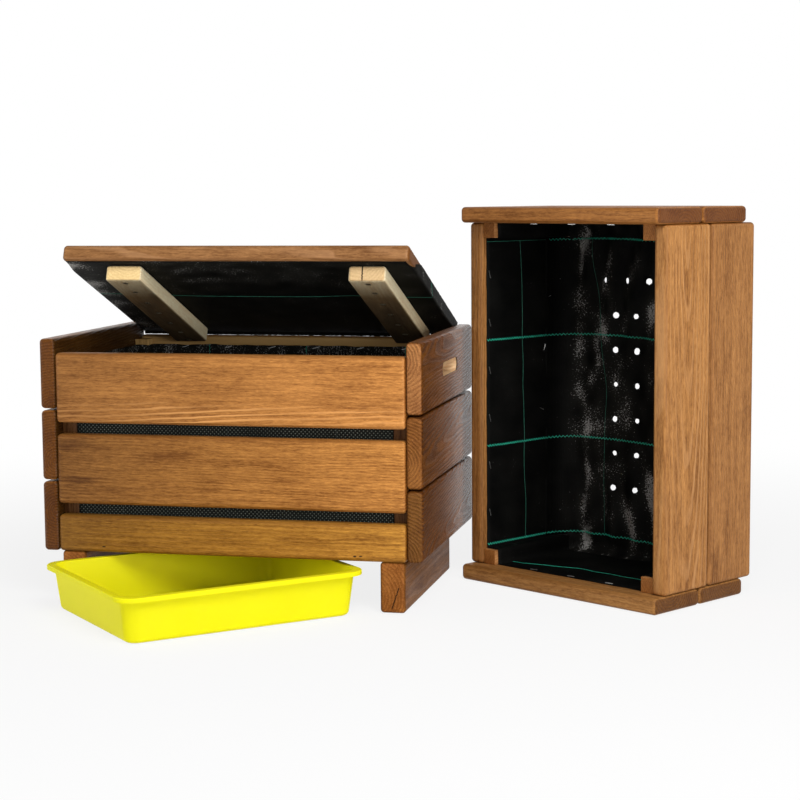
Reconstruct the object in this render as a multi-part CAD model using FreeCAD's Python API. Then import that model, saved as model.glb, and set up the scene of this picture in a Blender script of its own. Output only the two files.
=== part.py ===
import FreeCAD, Part
import math
import os

# Wormery: a base box on two runners with an opened lid, a loose drip tray turned
# under its front edge, and a second box of the same make standing on its end.
# Working axes, mm: X to the right along the base box's front, Y to its back, Z up.

# boards, the same stock everywhere
board_height = 95.0
board_thickness = 22.0
half_board_height = 50.0
board_edge_radius = 5.5

# box outline and the gaps between the boards
box_width = 530.0
box_depth = 350.0
side_board_gap = 2.5
front_board_gap = 15.5
module_board_gap = 2.5

# corner posts and the two rails inside the base box
post_side = 21.0
post_end_drop = 5.0
post_edge_radius = 0.8
rail_side = 21.0

# runners under the base box
runner_height = 68.0
runner_width = 34.0
runner_length = 301.0
runner_front_inset = 3.0
runner_side_inset = 3.0
runner_edge_radius = 5.0

# finger slot through each top side board
slot_length = 104.0
slot_height = 19.5
slot_centre_depth = 186.0

# fit between wooden pieces that touch
seat = 0.2

# woven liner
liner_thickness = 0.8
liner_top_drop = 11.0
module_floor_height = 12.0
drain_hole_radius = 4.5
drain_columns = 4
drain_rows = 7
drain_column_pitch = 40.0
drain_row_pitch = 49.0
drain_shift = -5.0

# wire staples that hold the liner
staple_crown = 11.0
staple_leg = 6.0
staple_wire = 0.7
staple_drop = 6.0
staple_clearance = 0.05
staple_stand_off = 0.1
staple_pitch = 68.0

# wood screws
screw_radius = 2.0
screw_head_radius = 4.0
screw_head_depth = 2.6
screw_clearance = 0.05
post_screw_length = 36.0
batten_screw_length = 38.0
runner_screw_length = 45.0
runner_counterbore_radius = 5.5
runner_counterbore_depth = 40.0
hinge_screw_radius = 1.5
hinge_screw_head_radius = 2.9
hinge_screw_head_depth = 1.8
hinge_screw_length = 15.0

# lid
lid_side_clearance = 1.5
lid_plank_gap = 2.5
lid_front_planks = 3
lid_lift = 2.7
lid_open_angle = 20.6
batten_width = 50.0
batten_edge_radius = 4.0
batten_centre_left = 158.0
batten_centre_right = 182.0
batten_end_clearance = 4.0
screw_row_offset = 24.0
front_screw_offset = 16.0
rear_screw_offset = 13.0
liner_wrap_start = 37.0
liner_wrap_height = 18.0

# butt hinges folded under the back edge of the lid
hinge_length = 50.0
hinge_leaf_depth = 17.0
hinge_leaf_thickness = 1.2
hinge_leaf_gap = 0.3
hinge_barrel_radius = 2.75
hinge_barrel_offset = 3.15
hinge_pin_radius = 1.4
hinge_pin_clearance = 0.05
hinge_middle_knuckle = 19.4
hinge_knuckle_gap = 0.3
hinge_centre = 178.0

# drip tray
tray_length = 346.0
tray_width = 282.0
tray_height = 61.0
tray_corner_radius = 26.0
tray_wall = 1.8
tray_taper = 7.5
tray_rim_width = 8.5
tray_rim_drop = 6.0
tray_foot_radius = 7.0
tray_centre_x = -26.0
tray_centre_y = -33.0
tray_turn = 43.0

# where the second box stands
module_clearance = 4.0
module_corner_y = 257.1
module_turn = -33.0

# derived sizes
front_stack = 2 * board_height + half_board_height + 2 * front_board_gap
side_stack = 3 * board_height + 2 * side_board_gap
side_rise = side_stack - front_stack
front_top = runner_height + front_stack
side_top = runner_height + side_stack
module_stack = 2 * board_height + module_board_gap
inner_half_width = box_width / 2 - board_thickness
lid_width = 2 * (inner_half_width - lid_side_clearance)
lid_depth = lid_front_planks * (board_height + lid_plank_gap) + half_board_height
lid_underside = front_top + lid_lift
batten_length = box_depth - 2 * (board_thickness + batten_end_clearance)
hinge_axis_y = box_depth + hinge_barrel_offset
hinge_axis_z = front_top + hinge_leaf_gap / 2
base_floor_height = runner_height + seat + rail_side + seat


def vector(x, y, z):
    return FreeCAD.Vector(x, y, z)


def timber(x, y, z, length_x, length_y, length_z, edge_radius):
    body = Part.makeBox(length_x, length_y, length_z, vector(x, y, z))
    return body.makeFillet(edge_radius, body.Edges)


def plain_block(x, y, z, length_x, length_y, length_z):
    return Part.makeBox(length_x, length_y, length_z, vector(x, y, z))


def aimed(shape, point, direction):
    placed = shape.copy()
    placed.Placement = FreeCAD.Placement(point, FreeCAD.Rotation(vector(0, 0, 1), direction))
    return placed


def screw_form(radius, head_radius, head_depth, length, extra):
    head = Part.makeCone(head_radius + extra, radius + extra, head_depth)
    shank = Part.makeCylinder(radius + extra, length - 2 * radius + extra)
    tip_base = vector(0, 0, length - 2 * radius + extra)
    tip = Part.makeCone(radius + extra, 0.3, 2 * radius, tip_base)
    return head.fuse([shank, tip]).removeSplitter()


def cross_recess(head_radius):
    arm = head_radius * 0.6
    slot = head_radius * 0.11
    first = Part.makeBox(2 * arm, 2 * slot, 1.2, vector(-arm, -slot, -0.1))
    second = Part.makeBox(2 * slot, 2 * arm, 1.2, vector(-slot, -arm, -0.1))
    return first.fuse(second)


def wood_screw(spot):
    form = screw_form(screw_radius, screw_head_radius, screw_head_depth, spot[2], 0.0)
    return aimed(form.cut(cross_recess(screw_head_radius)), spot[0], spot[1])


def hinge_screw(spot):
    form = screw_form(hinge_screw_radius, hinge_screw_head_radius, hinge_screw_head_depth, spot[2], 0.0)
    return aimed(form.cut(cross_recess(hinge_screw_head_radius)), spot[0], spot[1])


def wood_screw_hole(spot):
    form = screw_form(screw_radius, screw_head_radius, screw_head_depth, spot[2], screw_clearance)
    return aimed(form, spot[0], spot[1])


def hinge_screw_hole(spot):
    form = screw_form(hinge_screw_radius, hinge_screw_head_radius, hinge_screw_head_depth, spot[2], screw_clearance)
    return aimed(form, spot[0], spot[1])


def drilled(piece, holes):
    for hole in holes:
        if piece.BoundBox.intersect(hole.BoundBox):
            piece = piece.cut(hole)
    return piece


def slot_cutter(side):
    half_run = slot_length / 2 - slot_height / 2
    height = side_top - board_height / 2
    reach = board_thickness + 4
    start = side * (box_width / 2 + 2)
    cutter = plain_block(0, slot_centre_depth - half_run, height - slot_height / 2, reach, 2 * half_run, slot_height)
    for end in (-1, 1):
        centre = vector(0, slot_centre_depth + end * half_run, height)
        cutter = cutter.fuse(Part.makeCylinder(slot_height / 2, reach, centre, vector(1, 0, 0)))
    cutter = cutter.removeSplitter()
    cutter.translate(vector(start if side < 0 else start - reach, 0, 0))
    return cutter


def side_board(side, bottom):
    left = box_width / 2 - board_thickness if side > 0 else -box_width / 2
    return timber(left, 0, bottom, board_thickness, box_depth, board_height, board_edge_radius)


def slotted_side_board(side, bottom):
    cutter = slot_cutter(side)
    cutter.translate(vector(0, 0, bottom + board_height - side_top))
    return side_board(side, bottom).cut(cutter)


def cross_board(back, bottom, height):
    front = box_depth - board_thickness if back else 0
    length = 2 * (inner_half_width - seat)
    return timber(-length / 2, front, bottom, length, board_thickness, height, board_edge_radius)


def corner_signs():
    return [("front_left", -1, False), ("front_right", 1, False), ("back_left", -1, True), ("back_right", 1, True)]


def post_corner(side, back):
    inner = inner_half_width - seat
    x = inner - post_side if side > 0 else -inner
    y = box_depth - board_thickness - seat - post_side if back else board_thickness + seat
    return x, y


def corner_post(side, back, bottom, top):
    x, y = post_corner(side, back)
    return timber(x, y, bottom, post_side, post_side, top - bottom, post_edge_radius)


def post_screws(side_heights, cross_heights):
    spots = []
    for name, side, back in corner_signs():
        x, y = post_corner(side, back)
        middle_x = x + post_side / 2
        middle_y = y + post_side / 2
        face_x = x if side > 0 else x + post_side
        face_y = y if back else y + post_side
        for height in side_heights:
            spots.append((vector(face_x, middle_y, height), vector(side, 0, 0), post_screw_length))
        for height in cross_heights:
            along = vector(0, 1 if back else -1, 0)
            spots.append((vector(middle_x, face_y, height), along, post_screw_length))
    return spots


def side_liner(side, bottom, top):
    outer = inner_half_width - seat
    face = outer - liner_thickness
    near = board_thickness + seat + post_side + seat
    far = box_depth - near
    flange = post_side
    wall = plain_block(face, near, bottom, liner_thickness, far - near, top - bottom)
    first = plain_block(outer - flange, near, bottom, flange, liner_thickness, top - bottom)
    second = plain_block(outer - flange, far - liner_thickness, bottom, flange, liner_thickness, top - bottom)
    panel = wall.fuse([first, second]).removeSplitter()
    if side < 0:
        panel = panel.mirror(vector(0, 0, 0), vector(1, 0, 0))
    return panel


def cross_liner(back, bottom, top):
    outer = board_thickness + seat
    half = inner_half_width - seat - post_side - seat
    flange = post_side
    wall = plain_block(-half, outer, bottom, 2 * half, liner_thickness, top - bottom)
    first = plain_block(-half, outer, bottom, liner_thickness, flange, top - bottom)
    second = plain_block(half - liner_thickness, outer, bottom, liner_thickness, flange, top - bottom)
    panel = wall.fuse([first, second]).removeSplitter()
    if back:
        panel = panel.mirror(vector(0, box_depth / 2, 0), vector(0, 1, 0))
    return panel


def floor_liner(height):
    gap = 2 * seat + liner_thickness
    half = inner_half_width - gap
    near = board_thickness + gap
    sheet = plain_block(-half, near, height, 2 * half, box_depth - 2 * near, liner_thickness)
    notch = post_side + gap
    for side in (-1, 1):
        for y in (near, box_depth - near - notch):
            x = half - notch if side > 0 else -half
            sheet = sheet.cut(plain_block(x, y, height - 1, notch, notch, liner_thickness + 2))
    holes = []
    for column in range(drain_columns):
        y = box_depth / 2 + drain_shift + (column - (drain_columns - 1) / 2) * drain_column_pitch
        for row in range(drain_rows):
            x = (row - (drain_rows - 1) / 2) * drain_row_pitch
            holes.append(Part.makeCylinder(drain_hole_radius, liner_thickness + 2, vector(x, y, height - 1)))
    return sheet.cut(holes)


def staple_legs(extra):
    # the legs point along +Y and start on the plane y = 0
    legs = []
    for x in (-staple_crown / 2, staple_crown / 2 - staple_wire):
        corner = vector(x - extra, -staple_stand_off - staple_wire, -extra)
        width = staple_wire + 2 * extra
        legs.append(Part.makeBox(width, staple_leg + extra, width, corner))
    return legs


def staple():
    corner = vector(-staple_crown / 2, -staple_stand_off - staple_wire, 0)
    crown = Part.makeBox(staple_crown, staple_wire, staple_wire, corner)
    return crown.fuse(staple_legs(0.0)).removeSplitter()


def placed_staple(shape, spot):
    x, y, z, turn, tilt = spot
    piece = shape.copy()
    piece.rotate(vector(0, 0, 0), vector(0, 1, 0), tilt)
    piece.rotate(vector(0, 0, 0), vector(0, 0, 1), turn)
    piece.translate(vector(x, y, z))
    return piece


def row_positions(length):
    count = int(length // staple_pitch)
    return [(index - (count - 1) / 2) * staple_pitch for index in range(count)]


def staple_spots(top):
    face_x = inner_half_width - seat - liner_thickness
    face_y = board_thickness + seat + liner_thickness
    height = top - staple_drop
    clear_y = box_depth - 2 * (board_thickness + 2 * seat + post_side)
    clear_x = 2 * (inner_half_width - 2 * seat - post_side)
    spots = []
    for offset in row_positions(clear_x):
        spots.append((offset, face_y, height, 180, 12))
        spots.append((offset, box_depth - face_y, height, 0, -15))
    for offset in row_positions(clear_y):
        spots.append((face_x, box_depth / 2 + offset, height, -90, 10))
        spots.append((-face_x, box_depth / 2 + offset, height, 90, -10))
    return spots


def liner_staples(top):
    return Part.makeCompound([placed_staple(staple(), spot) for spot in staple_spots(top)])


def stapled(nodes, top):
    # the legs of the staples pass through the liner into the boards
    holes = []
    for spot in staple_spots(top):
        for leg in staple_legs(staple_clearance):
            holes.append(placed_staple(leg, spot))
    return {name: drilled(shape, holes) for name, shape in nodes.items()}


def side_level(level):
    return runner_height + level * (board_height + side_board_gap)


def cross_levels():
    low = runner_height
    middle = low + half_board_height + front_board_gap
    high = middle + board_height + front_board_gap
    return [("low", low, half_board_height), ("middle", middle, board_height), ("top", high, board_height)]


def base_post_screw_spots():
    side_heights = [side_level(level) + board_height / 2 for level in range(3)]
    cross_heights = [bottom + height / 2 for name, bottom, height in cross_levels()]
    return post_screws(side_heights, cross_heights)


def rail_start():
    return board_thickness + seat + post_side + seat


def rail_screw_spots():
    spots = []
    height = runner_height + seat + rail_side / 2
    face = inner_half_width - seat - rail_side
    for side in (-1, 1):
        for part in (0.3, 0.7):
            spots.append((vector(side * face, box_depth * part, height), vector(side, 0, 0), post_screw_length))
    return spots


def runner_screw_spots():
    spots = []
    centre = inner_half_width - seat - rail_side / 2
    for side in (-1, 1):
        for part in (0.2, 0.8):
            point = vector(side * centre, box_depth * part, runner_counterbore_depth)
            spots.append((point, vector(0, 0, 1), runner_screw_length))
    return spots


def rail(side):
    inner = inner_half_width - seat
    x = inner - rail_side if side > 0 else -inner
    length = box_depth - 2 * rail_start()
    return timber(x, rail_start(), runner_height + seat, rail_side, length, rail_side, post_edge_radius)


def runner(side):
    outer = inner_half_width - runner_side_inset
    x = outer - runner_width if side > 0 else -outer
    body = timber(x, runner_front_inset, 0, runner_width, runner_length, runner_height, runner_edge_radius)
    for point, direction, length in runner_screw_spots():
        if point.x * side > 0:
            mouth = vector(point.x, point.y, -1)
            bore = Part.makeCylinder(runner_counterbore_radius, runner_counterbore_depth + 1, mouth)
            body = body.cut(bore)
    return body


def hinge_spots(lower):
    spots = []
    leaf_front = hinge_axis_y - hinge_barrel_offset - hinge_leaf_depth
    for side in (-1, 1):
        for shift, back in ((-17.0, 0.35), (0.0, 0.62), (17.0, 0.35)):
            x = side * hinge_centre + shift
            y = leaf_front + hinge_leaf_depth * back
            if lower:
                spots.append((vector(x, y, front_top), vector(0, 0, -1), hinge_screw_length))
            else:
                spots.append((vector(x, y, front_top + hinge_leaf_gap), vector(0, 0, 1), hinge_screw_length))
    return spots


def knuckle(x, length):
    centre = vector(x, hinge_axis_y, hinge_axis_z)
    return Part.makeCylinder(hinge_barrel_radius, length, centre, vector(1, 0, 0))


def pin_hole(x):
    centre = vector(x - 1, hinge_axis_y, hinge_axis_z)
    return Part.makeCylinder(hinge_pin_radius + hinge_pin_clearance, hinge_length + 2, centre, vector(1, 0, 0))


def hinge_leaf(side, lower):
    start = side * hinge_centre - hinge_length / 2
    front = box_depth - hinge_leaf_depth
    back = hinge_axis_y - hinge_barrel_radius - hinge_knuckle_gap
    bottom = front_top - hinge_leaf_thickness if lower else front_top + hinge_leaf_gap
    plate = plain_block(start, front, bottom, hinge_length, back - front, hinge_leaf_thickness)
    outer = (hinge_length - hinge_middle_knuckle) / 2 - hinge_knuckle_gap
    if lower:
        runs = [(start + (hinge_length - hinge_middle_knuckle) / 2, hinge_middle_knuckle)]
    else:
        runs = [(start, outer), (start + hinge_length - outer, outer)]
    for x, length in runs:
        tongue = plain_block(x, back, bottom, length, hinge_axis_y - back, hinge_leaf_thickness)
        plate = plate.fuse([tongue, knuckle(x, length)])
    plate = plate.removeSplitter().cut(pin_hole(start))
    return drilled(plate, [hinge_screw_hole(spot) for spot in hinge_spots(lower)])


def hinge_pins():
    pins = []
    for side in (-1, 1):
        start = side * hinge_centre - hinge_length / 2
        centre = vector(start, hinge_axis_y, hinge_axis_z)
        pins.append(Part.makeCylinder(hinge_pin_radius, hinge_length, centre, vector(1, 0, 0)))
    return Part.makeCompound(pins)


def hinge_recess(side):
    start = side * hinge_centre - hinge_length / 2 - 0.1
    front = box_depth - hinge_leaf_depth - 0.1
    bottom = front_top - hinge_leaf_thickness - 0.1
    return plain_block(start, front, bottom, hinge_length + 0.2, hinge_leaf_depth + 1, hinge_leaf_thickness + 1)


def base_box():
    nodes = {}
    screws = base_post_screw_spots() + rail_screw_spots()
    holes = [wood_screw_hole(spot) for spot in screws + runner_screw_spots()]
    hinge_holes = [hinge_screw_hole(spot) for spot in hinge_spots(True)]
    for side_name, side in (("left", -1), ("right", 1)):
        for level, level_name in enumerate(("low", "middle", "top")):
            make = slotted_side_board if level_name == "top" else side_board
            nodes[side_name + "_side_board_" + level_name] = drilled(make(side, side_level(level)), holes)
    for end_name, back in (("front", False), ("back", True)):
        for level_name, bottom, height in cross_levels():
            piece = drilled(cross_board(back, bottom, height), holes)
            if back and level_name == "top":
                piece = piece.cut([hinge_recess(-1), hinge_recess(1)])
                piece = drilled(piece, hinge_holes)
            nodes[end_name + "_board_" + level_name] = piece
    for name, side, back in corner_signs():
        post = corner_post(side, back, runner_height + seat, front_top - post_end_drop)
        nodes["base_post_" + name] = drilled(post, holes)
    for side_name, side in (("left", -1), ("right", 1)):
        nodes["base_rail_" + side_name] = drilled(rail(side), holes)
        nodes["runner_" + side_name] = drilled(runner(side), holes)
    top = front_top - liner_top_drop
    nodes["base_liner_left"] = side_liner(-1, base_floor_height, top)
    nodes["base_liner_right"] = side_liner(1, base_floor_height, top)
    nodes["base_liner_front"] = cross_liner(False, base_floor_height, top)
    nodes["base_liner_back"] = cross_liner(True, base_floor_height, top)
    nodes["base_liner_floor"] = floor_liner(base_floor_height)
    nodes = stapled(nodes, top)
    nodes["base_staples"] = liner_staples(top)
    fixings = [wood_screw(spot) for spot in screws + runner_screw_spots()]
    fixings += [hinge_screw(spot) for spot in hinge_spots(True)]
    nodes["base_screws"] = Part.makeCompound(fixings)
    for side_name, side in (("left", -1), ("right", 1)):
        nodes["hinge_lower_leaf_" + side_name] = hinge_leaf(side, True)
    nodes["hinge_pins"] = hinge_pins()
    return nodes


def lid_plank_runs():
    # from the back edge of the lid forwards: the half board, then the full boards
    runs = [("rear", box_depth - half_board_height, half_board_height)]
    front = box_depth - half_board_height
    for name in ("third", "second", "front"):
        front = front - lid_plank_gap - board_height
        runs.append((name, front, board_height))
    return runs


def batten_spots():
    spots = []
    bottom = lid_underside - liner_thickness - 2 * seat - board_thickness
    for centre in (-batten_centre_left, batten_centre_right):
        for name, front, depth in lid_plank_runs():
            shifts = (-screw_row_offset, screw_row_offset)
            if name == "rear":
                shifts = (-rear_screw_offset,)
            if name == "front":
                shifts = (-front_screw_offset, screw_row_offset)
            for shift in shifts:
                point = vector(centre, front + depth / 2 + shift, bottom)
                spots.append((point, vector(0, 0, 1), batten_screw_length))
    return spots


def lid_batten(centre):
    bottom = lid_underside - liner_thickness - 2 * seat - board_thickness
    x = centre - batten_width / 2
    y = board_thickness + batten_end_clearance
    return timber(x, y, bottom, batten_width, batten_length, board_thickness, batten_edge_radius)


def lid_liner():
    half = lid_width / 2
    front = box_depth - lid_depth + 4
    back = box_depth - 4
    bottom = lid_underside - seat - liner_thickness
    sheet = plain_block(-half, front, bottom, 2 * half, back - front, liner_thickness)
    wraps = []
    start = box_depth - lid_depth + liner_wrap_start
    for x in (-half - seat - liner_thickness, half + seat):
        height = liner_wrap_height + seat + liner_thickness
        wraps.append(plain_block(x, start, bottom, liner_thickness, back - start, height))
        reach = x if x < 0 else half
        wraps.append(plain_block(reach, start, bottom, seat + liner_thickness, back - start, liner_thickness))
    return sheet.fuse(wraps).removeSplitter()


def opened(shape):
    turned = shape.copy()
    turned.rotate(vector(0, hinge_axis_y, hinge_axis_z), vector(1, 0, 0), -lid_open_angle)
    return turned


def lid():
    nodes = {}
    holes = [wood_screw_hole(spot) for spot in batten_spots()]
    hinge_holes = [hinge_screw_hole(spot) for spot in hinge_spots(False)]
    for name, front, depth in lid_plank_runs():
        plank = timber(-lid_width / 2, front, lid_underside, lid_width, depth, board_thickness, board_edge_radius)
        nodes["lid_plank_" + name] = drilled(plank, holes + hinge_holes)
    nodes["lid_batten_left"] = drilled(lid_batten(-batten_centre_left), holes)
    nodes["lid_batten_right"] = drilled(lid_batten(batten_centre_right), holes)
    nodes["lid_liner"] = drilled(lid_liner(), holes + hinge_holes)
    fixings = [wood_screw(spot) for spot in batten_spots()]
    fixings += [hinge_screw(spot) for spot in hinge_spots(False)]
    nodes["lid_screws"] = Part.makeCompound(fixings)
    nodes["hinge_upper_leaf_left"] = hinge_leaf(-1, False)
    nodes["hinge_upper_leaf_right"] = hinge_leaf(1, False)
    return {name: opened(shape) for name, shape in nodes.items()}


def rounded_outline(length, width, radius, height):
    a = length / 2 - radius
    b = width / 2 - radius
    edges = []
    for quarter in range(4):
        angle = math.radians(90 * quarter)
        sign_x = 1 if quarter in (0, 3) else -1
        sign_y = 1 if quarter in (0, 1) else -1
        points = []
        for part in (0.0, 0.5, 1.0):
            turn = angle + part * math.pi / 2
            points.append(vector(sign_x * a + radius * math.cos(turn), sign_y * b + radius * math.sin(turn), height))
        edges.append(Part.Arc(points[0], points[1], points[2]).toShape())
    joined = []
    for index, arc in enumerate(edges):
        after = edges[(index + 1) % 4]
        joined.append(arc)
        joined.append(Part.makeLine(arc.Vertexes[-1].Point, after.Vertexes[0].Point))
    return Part.Wire(joined)


def tapered_block(inset, bottom, top, foot_radius):
    full = tray_height
    low_inset = tray_rim_width + tray_taper * (1 - bottom / full) + inset
    high_inset = tray_rim_width + tray_taper * (1 - top / full) + inset
    wires = []
    for height, step in ((bottom, low_inset), (top, high_inset)):
        radius = tray_corner_radius - step * 0.6
        wires.append(rounded_outline(tray_length - 2 * step, tray_width - 2 * step, radius, height))
    block = Part.makeLoft(wires, True, True)
    lowest = [edge for edge in block.Edges if edge.BoundBox.ZMax < bottom + 0.01]
    return block.makeFillet(foot_radius, lowest)


def tray_prism(inset, bottom, top):
    wire = rounded_outline(tray_length - 2 * inset, tray_width - 2 * inset, tray_corner_radius - inset * 0.6, bottom)
    return Part.Face(wire).extrude(vector(0, 0, top - bottom))


def drip_tray():
    outer = tapered_block(0, 0, tray_height, tray_foot_radius)
    inner = tapered_block(tray_wall, tray_wall, tray_height + 1, tray_foot_radius - tray_wall)
    rim = tray_prism(0, tray_height - tray_rim_drop, tray_height)
    crown = [edge for edge in rim.Edges if edge.BoundBox.ZMin > tray_height - 0.01]
    rim = rim.makeFillet(tray_wall, crown)
    under = tray_prism(tray_wall, tray_height - tray_rim_drop - 1, tray_height - tray_wall)
    body = outer.fuse(rim.cut(under)).cut(inner).removeSplitter()
    body.rotate(vector(0, 0, 0), vector(0, 0, 1), tray_turn)
    body.translate(vector(tray_centre_x, tray_centre_y, 0))
    return body


def module_placement():
    turn = math.radians(module_turn)
    across = vector(math.cos(turn), math.sin(turn), 0)
    inward = vector(-math.sin(turn), math.cos(turn), 0)
    corner_x = box_width / 2 + module_clearance + side_rise * inward.x
    origin = vector(corner_x, module_corner_y, 0) + across * box_depth
    origin = origin + vector(0, 0, box_width / 2) + inward * module_stack
    matrix = FreeCAD.Matrix()
    matrix.A11, matrix.A21, matrix.A31 = 0, 0, 1
    matrix.A12, matrix.A22, matrix.A32 = -across.x, -across.y, 0
    matrix.A13, matrix.A23, matrix.A33 = -inward.x, -inward.y, 0
    matrix.A14, matrix.A24, matrix.A34 = origin.x, origin.y, origin.z
    return FreeCAD.Placement(matrix)


def second_box():
    # drawn as it stands in use, then set on its end
    nodes = {}
    step = board_height + module_board_gap
    side_heights = [side_rise + level * step + board_height / 2 for level in range(2)]
    cross_heights = [level * step + board_height / 2 for level in range(2)]
    screws = post_screws(side_heights, cross_heights)
    holes = [wood_screw_hole(spot) for spot in screws]
    for side_name, side in (("left", -1), ("right", 1)):
        low = side_board(side, side_rise)
        high = slotted_side_board(side, side_rise + step)
        nodes["module_" + side_name + "_board_low"] = drilled(low, holes)
        nodes["module_" + side_name + "_board_top"] = drilled(high, holes)
    for end_name, back in (("front", False), ("back", True)):
        nodes["module_" + end_name + "_board_low"] = drilled(cross_board(back, 0, board_height), holes)
        nodes["module_" + end_name + "_board_top"] = drilled(cross_board(back, step, board_height), holes)
    for name, side, back in corner_signs():
        post = corner_post(side, back, post_end_drop, module_stack - post_end_drop)
        nodes["module_post_" + name] = drilled(post, holes)
    top = module_stack - liner_top_drop
    nodes["module_liner_left"] = side_liner(-1, module_floor_height, top)
    nodes["module_liner_right"] = side_liner(1, module_floor_height, top)
    nodes["module_liner_front"] = cross_liner(False, module_floor_height, top)
    nodes["module_liner_back"] = cross_liner(True, module_floor_height, top)
    nodes["module_liner_floor"] = floor_liner(module_floor_height)
    nodes = stapled(nodes, top)
    nodes["module_staples"] = liner_staples(top)
    nodes["module_screws"] = Part.makeCompound([wood_screw(spot) for spot in screws])
    for shape in nodes.values():
        shape.Placement = module_placement().multiply(shape.Placement)
    return nodes


def all_nodes():
    nodes = base_box()
    nodes.update(lid())
    nodes["drip_tray"] = drip_tray()
    nodes.update(second_box())
    return nodes


def centred(nodes):
    # move the middle of the whole group's outline, at floor level, to the origin
    box = Part.makeCompound(list(nodes.values())).optimalBoundingBox(False, False)
    shift = vector(-(box.XMin + box.XMax) / 2, -(box.YMin + box.YMax) / 2, -box.ZMin)
    for shape in nodes.values():
        shape.translate(shift)
    return shift


nodes = all_nodes()
origin_shift = centred(nodes)
os.makedirs("parts", exist_ok=True)
for node_name, node_shape in nodes.items():
    node_shape.exportStep("parts/" + node_name + ".step")
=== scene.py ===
import bisect
import math
import random

import bmesh
import bpy
from mathutils import Matrix, Vector, noise


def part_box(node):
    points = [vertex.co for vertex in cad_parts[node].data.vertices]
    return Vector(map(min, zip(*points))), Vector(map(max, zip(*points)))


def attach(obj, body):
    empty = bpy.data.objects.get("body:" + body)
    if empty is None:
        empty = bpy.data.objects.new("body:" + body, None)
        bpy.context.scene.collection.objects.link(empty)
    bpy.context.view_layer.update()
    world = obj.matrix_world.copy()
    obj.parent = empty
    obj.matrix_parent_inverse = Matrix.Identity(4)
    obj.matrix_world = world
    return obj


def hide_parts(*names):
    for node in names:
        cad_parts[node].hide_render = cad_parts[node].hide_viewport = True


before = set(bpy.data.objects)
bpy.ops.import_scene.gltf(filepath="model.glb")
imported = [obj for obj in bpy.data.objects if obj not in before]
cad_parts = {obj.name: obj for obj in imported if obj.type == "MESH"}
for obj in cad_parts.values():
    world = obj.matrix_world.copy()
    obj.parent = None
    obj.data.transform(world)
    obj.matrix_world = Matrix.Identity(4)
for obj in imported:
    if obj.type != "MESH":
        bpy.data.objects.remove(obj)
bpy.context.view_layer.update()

# Sizes shared with the solids, mm, in the base box's own frame: X along its front from the
# middle, Y to the back from the front faces, Z up from the ground
BOX_WIDTH = 530.0
BOX_DEPTH = 350.0
BOARD = 22.0  # thickness of the boards
EDGE = 5.5  # rounding of their long edges
POST = 21.0  # width of the corner posts
CLOTH = 0.5  # thickness of the liner
LINER_DROP = 11.0  # from the boards' top edge down to the liner's hem
FRONT_TOP = 339.0
BASE_FLOOR = 89.4
SECOND_TOP = 192.5
SECOND_FLOOR = 12.0
SIDE_RISE = 19.0  # how far the side boards stand above the front ones
HINGE_X = 178.0
HINGE_Y = 353.15
HINGE_Z = 339.15
HINGE_REACH = 26.0  # half the length of a hinge, with some air
LID_OPEN = 20.6
LID_UNDERSIDE = 341.7
LID_DEPTH = 342.5
LID_HALF = 241.5  # half the lid's width
SECOND_CLEARANCE = 4.0
SECOND_TURN = -33.0
SECOND_CORNER_Y = 257.1
SLOT_Y = 186.0
SLOT_LENGTH = 104.0
SLOT_HEIGHT = 19.5
DRAIN_RADIUS = 4.4
DRAIN_PITCH = 40.0
DRAIN_ROW_PITCH = 50.0
CORNERS = ("front_left", "front_right", "back_left", "back_right")


# Places: each group is drawn in its own millimetre frame and set down in the row's frame

def base_place():
    low, high = (Vector(corner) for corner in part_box("front_board_top"))
    return Matrix.Translation(((low.x + high.x) / 2, low.y, 0.0)) @ Matrix.Scale(0.001, 4)


def lid_place():
    axis = Vector((0, HINGE_Y, HINGE_Z))
    turn = Matrix.Rotation(math.radians(-LID_OPEN), 4, "X")
    return base_place() @ Matrix.Translation(axis) @ turn @ Matrix.Translation(-axis)


def second_place():
    # the second box stands on its end: its X points up, its Y to the left and its Z to the viewer
    turn = math.radians(SECOND_TURN)
    across = Vector((math.cos(turn), math.sin(turn), 0))
    inward = Vector((-math.sin(turn), math.cos(turn), 0))
    corner = Vector((BOX_WIDTH / 2 + SECOND_CLEARANCE + SIDE_RISE * inward.x, SECOND_CORNER_Y, 0))
    start = corner + across * BOX_DEPTH + inward * SECOND_TOP + Vector((0, 0, BOX_WIDTH / 2))
    place = Matrix.Identity(4)
    for column, direction in enumerate((Vector((0, 0, 1)), -across, -inward, start)):
        for row in range(3):
            place[row][column] = direction[row]
    return base_place() @ place


BASE = base_place()
LID = lid_place()
SECOND = second_place()


# Small helpers for shapes

def ease(value, low, high):
    t = min(1.0, max(0.0, (value - low) / (high - low)))
    return t * t * (3 - 2 * t)


def drift(seed, a, b=0.0):
    return noise.noise(Vector((a, b, seed * 13.7)))


def hill(x, y, centre_x, centre_y, spread_x, spread_y):
    return math.exp(-((x - centre_x) / spread_x) ** 2 - ((y - centre_y) / spread_y) ** 2)


def evenly(start, end, pitch):
    count = max(2, round(abs(end - start) / pitch))
    return [start + (end - start) * index / count for index in range(count + 1)]


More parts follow.
